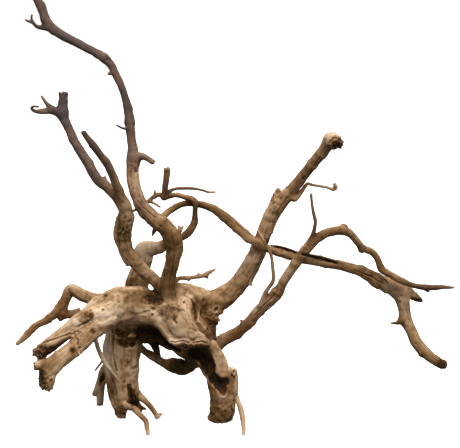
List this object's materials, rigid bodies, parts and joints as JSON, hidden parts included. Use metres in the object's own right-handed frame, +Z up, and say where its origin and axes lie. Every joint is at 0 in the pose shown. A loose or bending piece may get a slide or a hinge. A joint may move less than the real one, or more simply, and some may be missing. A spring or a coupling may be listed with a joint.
{
  "type": "spiderwood root",
  "caption": "Dried, bark-free root crown on splayed legs, with forked stems, long arching roots and fine twigs, to decorate an aquarium, terrarium or shelf.",
  "frame": {"origin": "middle of the outer box seen from above, at the floor that the feet stand on", "axes": "+X to the right as pictured, along the longest limbs, +Y away from the viewer, +Z up"},
  "size_m": [0.4436, 0.1716, 0.433],
  "materials": {
    "washed_wood": "matt, water-worn bare wood"
  },
  "bodies": {
    "root": {"spiderwood_root": "washed_wood"}
  },
  "joints": []
}
